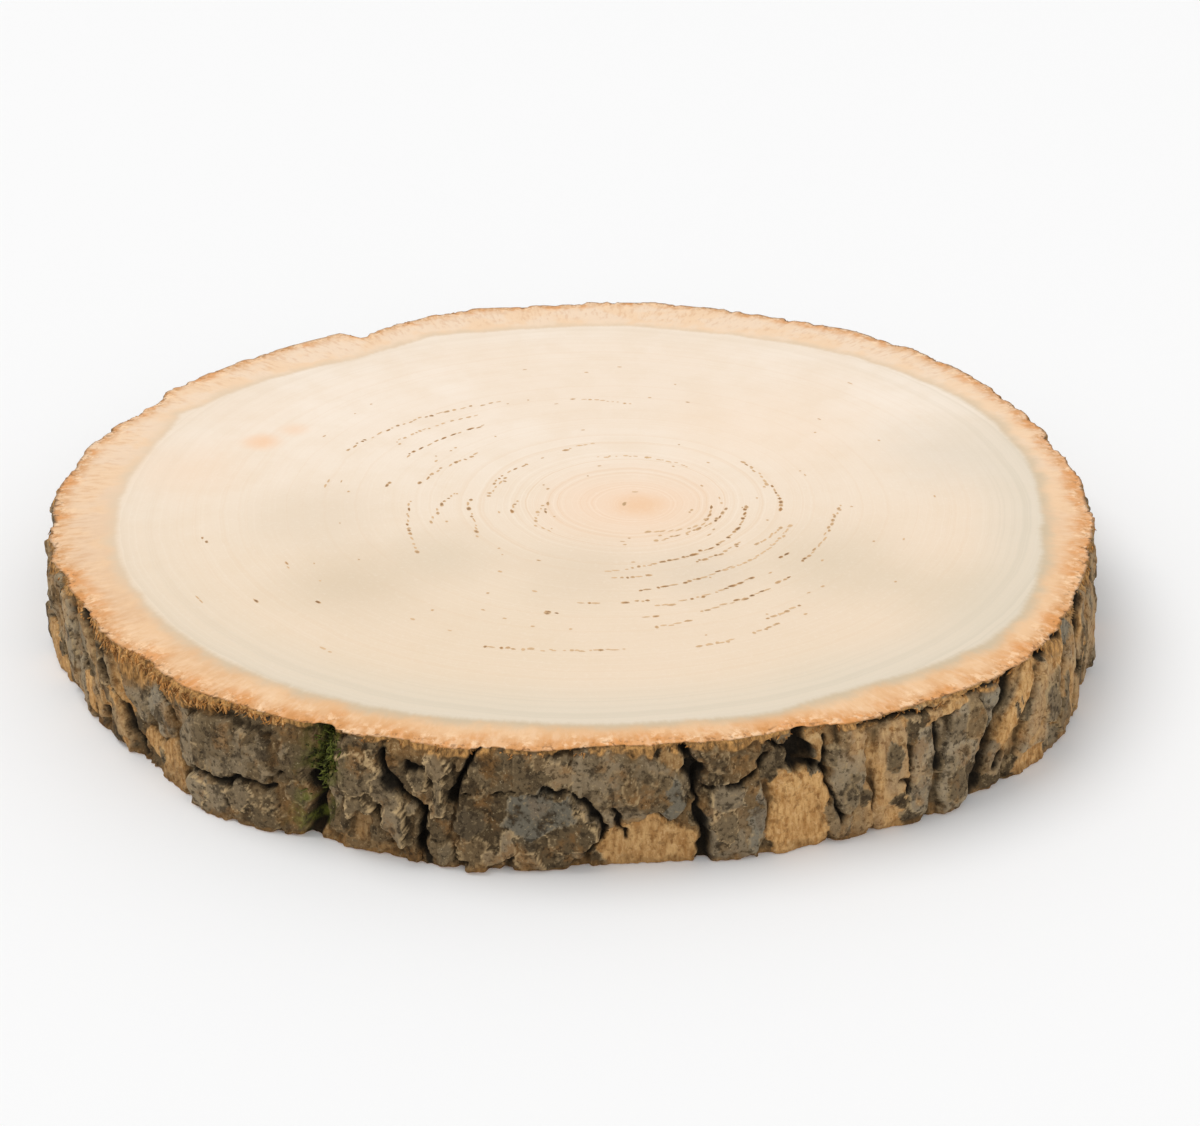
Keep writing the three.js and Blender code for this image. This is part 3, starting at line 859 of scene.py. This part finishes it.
def wood_material():
    """Cream wood with its rings and clouds, and the inner bark round it."""
    material, tree, surface = new_material("sawn_wood", 0.6, 0.35)
    here = shade(tree, "TexCoord").outputs["Object"]

    def off_centre(value, amount, onto):
        """The value's swing about a half, widened to this amount and added on."""
        return figure(tree, "MULTIPLY_ADD", figure(tree, "SUBTRACT", value, 0.5), amount, onto)

    def combine(x, y, z):
        return shade(tree, "CombineXYZ", {"X": x, "Y": y, "Z": z}).outputs[0]

    # Which ring each place is on: circles whose middles drift from the pith to the middle
    # of the wood as they grow.
    sides = shade(tree, "SeparateXYZ", {0: here}).outputs
    x = figure(tree, "MULTIPLY_ADD", sides["X"], 1 / MM, -PITH[0])
    y = figure(tree, "MULTIPLY_ADD", sides["Y"], 1 / MM, -PITH[1])
    drift = (WOOD_MIDDLE[0] - PITH[0], WOOD_MIDDLE[1] - PITH[1])
    spare = WOOD_RADIUS**2 - drift[0] ** 2 - drift[1] ** 2
    towards = figure(tree, "MULTIPLY_ADD", x, drift[0], times(tree, y, drift[1]))
    squared = figure(tree, "MULTIPLY_ADD", x, x, times(tree, y, y))
    under_root = figure(tree, "MULTIPLY_ADD", towards, towards, times(tree, squared, spare))
    root = figure(tree, "SQRT", under_root)
    ring = times(tree, figure(tree, "SUBTRACT", root, towards), WOOD_RADIUS / spare)
    waver, _ = grained(tree, here, 40.0, 0, 1)
    grown = off_centre(waver, 3.6, ring)

    # Rings, as bands of uneven width that show most near the pith.
    band_wires = {"W": grown, "Scale": 0.42, "Detail": 5.0, "Roughness": 0.75}
    bands = shade(tree, "TexNoise", band_wires, noise_dimensions="1D").outputs["Fac"]
    fine_wires = {"W": grown, "Scale": 1.6, "Detail": 2.0, "Roughness": 0.6}
    fine_bands = shade(tree, "TexNoise", fine_wires, noise_dimensions="1D").outputs["Fac"]
    _, broad = grained(tree, here, 60.0, 0.38, 0.62)
    _, faint = grained(tree, here, 9.0, 0.4, 0.7)
    flecks, light_flecks = grained(tree, here, 0.9, 0.5, 0.75)
    near_pith = between(tree, ring, 46.0, 6.0)
    past = stored(tree, "past_wood")

    # The face is painted paler and whiter towards the back: painted sheen, where it is seen
    # edgewise.
    back_sheen = between(tree, sides["Y"], -0.085, 0.06)
    colour = over(tree, paint(229, 208, 181), paint(241, 226, 209), back_sheen)
    dark_bands = figure(tree, "MULTIPLY_ADD", near_pith, 0.46, 0.1)
    light_bands = figure(tree, "MULTIPLY_ADD", near_pith, 0.36, 0.12)
    colour = coated(tree, colour, [
        ((233, 211, 186), broad, 0.5),
        ((226, 202, 172), faint, 0.22),
        ((222, 186, 146), between(tree, bands, 0.5, 0.68), dark_bands),
        ((246, 232, 214), between(tree, fine_bands, 0.5, 0.72), light_bands),
    ])
    flat = combine(sides["X"], sides["Y"], 0.0)
    for cloud_x, cloud_y, reach, tint, most in WOOD_CLOUDS:
        wires = {0: flat, 1: (cloud_x * MM, cloud_y * MM, 0)}
        away = shade(tree, "VectorMath", wires, operation="DISTANCE").outputs["Value"]
        ragged = off_centre(waver, 0.9 * reach * MM, away)
        cloud = between(tree, ragged, 1.15 * reach * MM, 0.1 * reach * MM)
        colour = coated(tree, colour, [(tint, cloud, most)])

    # The wood greys towards its edge, with grey growth rings, most at the front and the right.
    outwards = shade(tree, "VectorMath", {0: flat}, operation="NORMALIZE").outputs[0]
    facing = {0: outwards, 1: (0.5, -0.87, 0)}
    towards_front = shade(tree, "VectorMath", facing, operation="DOT_PRODUCT").outputs["Value"]
    front = between(tree, towards_front, -0.5, 0.8)
    greyed = figure(tree, "MULTIPLY_ADD", times(tree, front, front), 0.56, 0.08)
    edge_rings = times(tree, between(tree, past, -16.0, -1.0), between(tree, bands, 0.4, 0.66))
    colour = coated(tree, colour, [
        ((246, 234, 220), light_flecks, 0.16),
        ((216, 206, 187), between(tree, past, -20.0, -1.0), greyed),
        ((204, 193, 172), edge_rings, figure(tree, "MULTIPLY_ADD", front, 0.3, 0.08)),
    ])

    # Outside the wood: grey cambium, then peach inner bark in ragged fans.
    to_rim = stored(tree, "to_rim")
    reach = shade(tree, "VectorMath", {0: flat}, operation="LENGTH").outputs["Value"]

    def rays(width, length, seed):
        """Grain in streaks that run out from the middle of the slice."""
        wires = {0: outwards, "Scale": TRUNK / width}
        spread = shade(tree, "VectorMath", wires, operation="SCALE").outputs[0]
        lift = combine(0.0, 0.0, figure(tree, "MULTIPLY_ADD", reach, 1 / (length * MM), seed))
        placed = shade(tree, "VectorMath", {0: spread, 1: lift}, operation="ADD").outputs[0]
        return grained(tree, placed, 1 / MM, 0.46, 0.66)

    def by_rim(mask, start, end):
        """The part of a mask that lies near the rim, from start to end in millimetres."""
        return times(tree, mask, between(tree, to_rim, start, end))

    fans, _ = rays(7.0, 9.0, 3.0)
    streaks, light_streaks = rays(1.3, 4.0, 8.0)
    _, torn_rays = rays(1.8, 3.2, 21.0)
    _, patches = grained(tree, here, 13.0, 0.44, 0.6)
    _, blotches = grained(tree, here, 7.0, 0.5, 0.62)
    _, pale_spots = grained(tree, here, 3.4, 0.54, 0.62)
    _, spots = grained(tree, here, 2.4, 0.52, 0.6)
    # Dark brown marks near the rim stand for small crevices in the torn inner bark: painted shade.
    _, crevice_shade = grained(tree, here, 1.3, 0.54, 0.64)
    cambium = over(tree, paint(222, 197, 167), paint(203, 183, 153), front)
    peach = over(tree, paint(221, 184, 146), paint(225, 178, 129), front)
    # The peach inner bark gets the same painted sheen towards the back.
    peach = over(tree, peach, paint(236, 210, 182), back_sheen)
    peach = coated(tree, peach, [((236, 198, 156), patches, 0.6)])
    inner = over(tree, cambium, peach, between(tree, off_centre(fans, 7.0, past), -0.5, 4.2))
    orange = over(tree, paint(220, 172, 120), paint(220, 154, 90), front)
    near_rim = between(tree, off_centre(fans, 9.0, to_rim), 6.5, 1.0)
    share = times(tree, near_rim, figure(tree, "MULTIPLY_ADD", patches, -0.55, 0.75))
    inner = over(tree, inner, orange, share)
    dark_streaks = times(tree, between(tree, streaks, 0.5, 0.36), between(tree, past, 3.0, 8.0))
    inner = coated(tree, inner, [
        ((220, 148, 78), by_rim(blotches, 6.5, 1.0), 0.85),
        ((242, 210, 176), times(tree, light_streaks, between(tree, past, 1.0, 5.0)), 0.28),
        ((206, 150, 98), dark_streaks, 0.3),
        ((250, 214, 172), by_rim(pale_spots, 7.0, 2.0), 0.6),
        ((200, 136, 70), by_rim(figure(tree, "MAXIMUM", torn_rays, spots), 4.8, 0.8), 0.75),
        ((132, 86, 42), by_rim(crevice_shade, 2.8, 0.3), 0.8),
    ])
    colour = over(tree, colour, inner, between(tree, off_centre(streaks, 1.6, past), -1.0, 1.0))
    tree.links.new(colour, surface.inputs["Base Color"])

    ripples = times(tree, streaks, between(tree, past, 0.0, 5.0))
    height = figure(tree, "MULTIPLY_ADD", ripples, 1.4, times(tree, fine_bands, 0.1))
    height = figure(tree, "MULTIPLY_ADD", flecks, 0.22, height)
    wires = {"Height": height, "Strength": 0.5, "Distance": 0.3 * MM}
    tree.links.new(shade(tree, "Bump", wires).outputs["Normal"], surface.inputs["Normal"])
    return material


def sawn_face(rim_radius, height, drop):
    """Rings of points from the middle out to a rim that the saw has worn down by `drop`, as
    (points, how far past the wood, how far from the rim) for each ring. The rings have more
    points the further out they are."""
    inner_rings = [(0.12, 8), (0.3, 8), (0.5, 4), (0.7, 2), (0.9, 1), (1.0, 1)]
    bark_rings = [0.25, 0.5, 0.75, 0.93, 1.0]
    made = [(share * wood_edge[::skip], skip, 0.0) for share, skip in inner_rings]
    for share in bark_rings:
        sunk = ease(share, 0.75, 1.0)
        made.append((wood_edge + share * (rim_radius - wood_edge), 1, sunk))
    face_rings = []
    for radius, skip, sunk in made:
        turn = turns[::skip]
        levels = height - sunk * drop[::skip]
        points = np.stack([radius * np.cos(turn), radius * np.sin(turn), levels], -1) * MM
        face_rings.append((points, radius - wood_edge[::skip], rim_radius[::skip] - radius))
    return face_rings


def join_rings(first, first_count, second, second_count, outwards_up):
    """Faces between a ring and the next one out, which has as many points or twice as many."""
    made = []
    as_many = first_count == second_count
    for column in range(first_count):
        after = (column + 1) % first_count
        if as_many:
            made.append((first + column, second + column, second + after, first + after))
        else:
            low = second + 2 * column
            high = second + (2 * column + 2) % second_count
            made.append((first + column, low, low + 1))
            made.append((first + column, low + 1, first + after))
            made.append((first + after, low + 1, high))
    return made if outwards_up else [tuple(reversed(face)) for face in made]


points, past_wood, to_rim, faces = [], [], [], []
rim_starts = []
no_drop = np.zeros(COLUMNS)
for rim_radius, height, drop, faces_up in [
    (bark_radius[-1], TALL, rim_drop, True),
    (bark_radius[0], 0.0, no_drop, False),
]:
    centre = len(points)
    points.append((0.0, 0.0, height * MM))
    past_wood.append(-float(wood_edge.mean()))
    to_rim.append(float(rim_radius.mean()))
    previous = None
    for ring_places, past, rim in sawn_face(rim_radius, height, drop):
        start, count = len(points), len(ring_places)
        points.extend(map(tuple, ring_places))
        past_wood.extend(past)
        to_rim.extend(rim)
        if previous is None:
            for column in range(count):
                spoke = (centre, start + column, start + (column + 1) % count)
                faces.append(spoke if faces_up else tuple(reversed(spoke)))
        else:
            faces.extend(join_rings(*previous, start, count, faces_up))
        previous = (start, count)
    rim_starts.append(previous[0])

# Under the bark the two faces are joined by a plain wall.
wall_starts = []
for height in (TALL - LIP, LIP):
    wall_starts.append(len(points))
    points.extend(map(tuple, ring_points(core_radius, height)))
    past_wood.extend([5.0] * COLUMNS)
    to_rim.extend([5.0] * COLUMNS)
loop = [rim_starts[0], wall_starts[0], wall_starts[1], rim_starts[1]]
for above, below in zip(loop, loop[1:]):
    faces.extend(join_rings(below, COLUMNS, above, COLUMNS, False))

# On the bake map both faces lie in the same round, and the wall is shrunk into a corner.
hidden_from = len(faces) - 3 * COLUMNS
spread = 2.14 * outline.max() * MM
uvs = []
for index, face in enumerate(faces):
    for corner in face:
        x, y, z = points[corner]
        if index < hidden_from:
            uvs.append((0.5 + x / spread, 0.5 + y / spread))
        else:
            uvs.append((0.03 + 0.02 * x / spread, 0.03 + 0.02 * z / MM / TALL))

sawn_wood = make_piece("sawn_wood", points, faces, wood_material(), "wood_slice", uvs)
give(sawn_wood, "past_wood", past_wood)
give(sawn_wood, "to_rim", to_rim)


# ---------------------------------------------------------------------------------------
# Pores. Rows of small brown vessels that the saw has opened along some rings of the wood.
# Each is a thin dish laid on the upper face, darkest in its middle.

# Rows of open pores, each from (ring, degrees) to (ring, degrees) round the pith, where the
# ring is a distance in millimetres, and how strongly the row shows.
PORE_ROWS = [
    (15.5, 279, 20.3, 326, 0.6), (20.3, 326, 18.9, 363, 0.75), (20.7, 282, 21.1, 314, 0.5),
    (21.1, 314, 23.2, 357, 0.8), (32.4, 280, 30.6, 313, 1.0), (30.6, 313, 28.0, 358, 0.9),
    (35.9, 258, 32.8, 276, 0.5), (35.4, 294, 34.5, 321, 0.75), (45.9, 270, 41.5, 304, 1.0),
    (53.0, 281, 49.4, 306, 0.85), (59.1, 284, 56.4, 304, 0.85), (51.3, 266, 50.9, 273, 0.7),
    (53.9, 274, 53.9, 280, 0.7), (63.8, 273, 62.5, 281, 0.5), (74.8, 280, 74.0, 288, 0.35),
    (73.2, 291, 72.0, 297, 0.5), (69.0, 296, 67.4, 305, 0.6), (75.5, 244, 74.9, 249, 0.8),
    (75.0, 250, 73.4, 262, 0.3), (73.4, 262, 73.0, 267, 0.7), (52.8, 322, 51.3, 350, 0.75),
    (51.3, 350, 53.4, 360, 0.5), (38.0, 323, 39.5, 340, 0.6), (35.5, 20, 35.8, 45, 0.5),
    (37.6, 356, 36.1, 378, 0.85), (24.9, 176, 27.1, 190, 0.75), (19.1, 178, 19.4, 193, 0.75),
    (23.3, 209, 23.6, 217, 0.4), (30.1, 140, 32.0, 164, 0.75), (32.2, 107, 30.4, 121, 0.5),
    (39.2, 261, 38.7, 274, 0.6), (6.0, 94, 6.2, 106, 0.6), (3.0, 170, 3.0, 215, 0.7),
    (47.3, 320, 47.3, 324, 0.9), (55.8, 308, 55.8, 312, 0.9), (57.5, 249, 57.5, 252, 0.9),
    (59.0, 271, 59.0, 274, 0.8), (52.2, 255, 52.2, 259, 0.8), (61.1, 120, 63.2, 133, 0.55),
    (63.2, 133, 67.5, 158, 0.8), (51.7, 130, 54.1, 155, 0.9), (54.1, 91, 58.0, 105, 0.45),
    (41.7, 144, 46.5, 167, 0.75), (47.2, 178, 49.5, 196, 0.8), (49.5, 196, 51.7, 207, 0.5),
    (38.4, 172, 44.4, 192, 0.65), (34.8, 176, 35.4, 196, 1.0), (35.4, 196, 38.1, 206, 0.7),
    (30.2, 155, 31.0, 173, 0.6), (19.6, 181, 24.5, 207, 0.4), (53.5, 168.5, 53.5, 171, 0.9),
    (65.7, 170, 65.7, 172, 0.8), (91.0, 189.8, 90.0, 191.6, 0.7), (98.6, 205.4, 99.0, 207.4, 1.0),
    (89.4, 209.6, 89.4, 211, 0.9), (80.0, 214.4, 81.0, 216, 0.9), (77.4, 200.6, 78.0, 202.2, 0.6),
    (92.3, 52, 92.3, 53.4, 0.8), (58.3, 249, 54.7, 251, 0.6), (92.2, 225.5, 92.2, 227, 0.5),
    (24.0, 60, 25.0, 110, 0.25), (43.0, 300, 41.0, 345, 0.3), (57.0, 128, 60.0, 150, 0.35),
]

PORE_LIFT = 0.02  # mm, what keeps the dish clear of the face
PORE_CORNERS = 8
STRAY_PORES = 90  # small faint pores away from the rows


def pore_material():
    """Brown in the middle of a pore, fading to the colour of the wood at its edge."""
    material, tree, surface = new_material("open_pores", 0.7, 0.2)
    here = shade(tree, "TexCoord").outputs["Object"]
    _, patches = grained(tree, here, 1.5, 0.4, 0.6)
    middle = over(tree, paint(156, 110, 60), paint(106, 70, 34), patches)
    colour = over(tree, paint(222, 188, 148), middle, stored(tree, "depth"))
    tree.links.new(colour, surface.inputs["Base Color"])
    return material


def on_ring(ring, degrees):
    """The place on a growth ring that lies in this direction from the pith."""
    turn = math.radians(degrees)
    towards = np.array([math.cos(turn), math.sin(turn)])
    centre = (np.array(WOOD_MIDDLE) - PITH) * ring / WOOD_RADIUS
    along_line = centre @ towards
    return PITH + towards * (along_line + math.sqrt(ring**2 - centre @ centre + along_line**2))


chance = np.random.default_rng(31)
points, faces, depths = [], [], []


def open_pore(ring, degrees, long, wide, dark):
    """Adds one pore, drawn out along its ring, to the points and faces of the piece."""
    middle = on_ring(ring, degrees)
    run = on_ring(ring, degrees + 0.5) - on_ring(ring, degrees - 0.5)
    run = run / np.linalg.norm(run)
    side = np.array([-run[1], run[0]])
    first = len(points)
    for share, depth in [(1.0, 0.0), (0.62, 0.75 * dark)]:
        for corner in range(PORE_CORNERS):
            around = 2 * math.pi * corner / PORE_CORNERS
            reach = share * (1 + chance.uniform(-0.22, 0.22))
            place = middle + run * math.cos(around) * reach * long / 2
            place = place + side * math.sin(around) * reach * wide / 2
            points.append((place[0] * MM, place[1] * MM, (TALL + PORE_LIFT * share) * MM))
            depths.append(depth)
    points.append((middle[0] * MM, middle[1] * MM, (TALL + 0.3 * PORE_LIFT) * MM))
    depths.append(dark)
    for corner in range(PORE_CORNERS):
        after = (corner + 1) % PORE_CORNERS
        a, b = first + corner, first + after
        faces.append((a, b, b + PORE_CORNERS, a + PORE_CORNERS))
        faces.append((a + PORE_CORNERS, b + PORE_CORNERS, first + 2 * PORE_CORNERS))


for first_ring, first_degrees, last_ring, last_degrees, strength in PORE_ROWS:
    length = math.radians(last_degrees - first_degrees) * (first_ring + last_ring) / 2
    walked = 0.0
    while walked < max(length, 0.9):
        share = walked / max(length, 0.9)
        ring = first_ring + (last_ring - first_ring) * share
        degrees = first_degrees + (last_degrees - first_degrees) * share
        long = chance.uniform(0.8, 2.6) * (0.5 + 0.5 * strength)
        ring += chance.normal(0, 0.22)
        wide, dark = chance.uniform(0.4, 0.7), 0.3 * strength
        if chance.random() < 0.2 + 0.5 * strength:
            wide, dark = chance.uniform(0.6, 1.15), min(1.0, strength * chance.uniform(0.6, 1.3))
        open_pore(ring, degrees, long, wide, dark)
        walked += long + chance.uniform(-0.1, 0.9) * (1.3 - 0.6 * strength)
for _ in range(STRAY_PORES):
    ring, degrees = chance.uniform(14, 78), chance.uniform(0, 360)
    long, wide = chance.uniform(0.5, 1.4), chance.uniform(0.4, 0.8)
    open_pore(ring, degrees, long, wide, chance.uniform(0.15, 0.45))
pores = make_piece("pores", points, faces, pore_material(), "wood_slice")
give(pores, "depth", depths)


# ---------------------------------------------------------------------------------------
# Torn fibres. Slivers of golden inner bark that the saw has torn out under the upper rim,
# thickest at the front left. They hang down against the outer bark.

# Stretches of the rim, each from and to degrees, with how many slivers and how long.
TORN_STRETCHES = [
    (208, 243, 420, 2.6), (217, 236, 260, 3.4), (250, 272, 90, 1.3), (278, 300, 110, 1.5),
    (300, 350, 220, 1.6), (186, 208, 90, 1.5), (0, 186, 420, 1.1),
]


def torn_material():
    """Golden fibre with darker and paler slivers."""
    material, tree, surface = new_material("torn_fibre", 0.85, 0.2)
    here = shade(tree, "TexCoord").outputs["Object"]
    _, patches = grained(tree, here, 1.8, 0.42, 0.6)
    _, pale = grained(tree, here, 0.8, 0.52, 0.66)
    colour = over(tree, paint(132, 88, 44), paint(196, 138, 74), patches)
    colour = over(tree, colour, paint(232, 184, 122), figure(tree, "MULTIPLY", pale, 0.7))
    tree.links.new(colour, surface.inputs["Base Color"])
    return material


def on_bark(degree, height):
    """The bark's radius at this place, and the directions out of the trunk and round it."""
    column = int(np.searchsorted(column_degrees, degree)) % COLUMNS
    row = int(height / TALL * ROWS)
    turn = math.radians(degree)
    out = np.array([math.cos(turn), math.sin(turn), 0])
    side = np.array([-math.sin(turn), math.cos(turn), 0])
    return bark_radius[row, column], out, side


BLADE = [(0, 0.16), (0.5, 0.22), (0.85, 0.12)]  # (share of its length, thickness in mm)


def add_blade(points, faces, foot, run, bend, across, length, girth):
    """Adds a bent three-sided blade that tapers to a point. `across` holds the two
    directions that its sides are spread in."""
    first = len(points)
    for share, thick in BLADE:
        middle = foot + (run * share + bend * share**1.6) * length
        for corner in range(3):
            around = corner * 2 * math.pi / 3
            offset = across[0] * math.cos(around) + across[1] * math.sin(around)
            points.append(tuple((middle + offset * thick * girth) * MM))
    points.append(tuple((foot + (run + bend * 1.1) * length) * MM))
    for level in range(2):
        for corner in range(3):
            a, b = first + level * 3 + corner, first + level * 3 + (corner + 1) % 3
            faces.append((a, b, b + 3, a + 3))
    for corner in range(3):
        faces.append((first + 6 + corner, first + 6 + (corner + 1) % 3, first + 9))
    faces.append((first + 2, first + 1, first))


chance = np.random.default_rng(41)
up_axis = np.array([0, 0, 1])
points, faces = [], []
for from_degree, to_degree, count, longest in TORN_STRETCHES:
    for _ in range(count):
        degree = chance.uniform(from_degree, to_degree)
        height = TALL - 0.3 - 0.45 * longest * chance.uniform(0, 1) ** 2
        radius, out, side = on_bark(degree, height)
        foot = out * (radius - 0.35) + up_axis * height
        run = -0.8 * up_axis + side * chance.normal(0, 0.45) + out * chance.uniform(0.1, 0.45)
        bend = side * chance.normal(0, 0.35) + out * chance.normal(-0.1, 0.2)
        length = longest * chance.uniform(0.35, 1)
        add_blade(points, faces, foot, run, bend, (side, -out), length, chance.uniform(0.7, 1.6))
make_piece("torn_fibres", points, faces, torn_material(), "wood_slice")


# ---------------------------------------------------------------------------------------
# Moss. A small green cushion of leafy shoots that has taken hold in the widest crack of
# the front bark. Each shoot is a bent, pointed blade with its foot in the crack.

SHOOTS = 420
SHOOT_LENGTH = 1.25  # mm
moss_low, moss_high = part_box("moss_tuft")


def moss_material():
    """Dark green leaves with paler yellow-green tips in patches."""
    material, tree, surface = new_material("moss_green", 0.9, 0.2)
    here = shade(tree, "TexCoord").outputs["Object"]
    _, patches = grained(tree, here, 2.0, 0.42, 0.6)
    _, tips = grained(tree, here, 0.8, 0.5, 0.66)
    colour = over(tree, paint(44, 46, 18), paint(92, 98, 38), patches)
    colour = over(tree, colour, paint(140, 142, 62), figure(tree, "MULTIPLY", tips, 0.6))
    tree.links.new(colour, surface.inputs["Base Color"])
    return material


chance = np.random.default_rng(23)
points, faces = [], []
for _ in range(SHOOTS):
    height = chance.triangular(moss_low.z / MM, 20.5, min(moss_high.z / MM, TALL - 0.6))
    thinning = 0.45 + 0.55 * (height - moss_low.z / MM) / (TALL - moss_low.z / MM)
    degree = np.interp(height, crack_heights, crack_degrees) + chance.normal(0.1, 0.8) * thinning
    radius, out, side = on_bark(degree, height)
    lean = side * chance.normal(0, 0.6) + up_axis * chance.normal(0.1, 0.6)
    length = SHOOT_LENGTH * chance.uniform(0.6, 1.3)
    foot = out * (radius - 0.3) + up_axis * height
    add_blade(points, faces, foot, out, lean, (side, up_axis), length, 1.0)
make_piece("moss", points, faces, moss_material(), "moss_tuft")
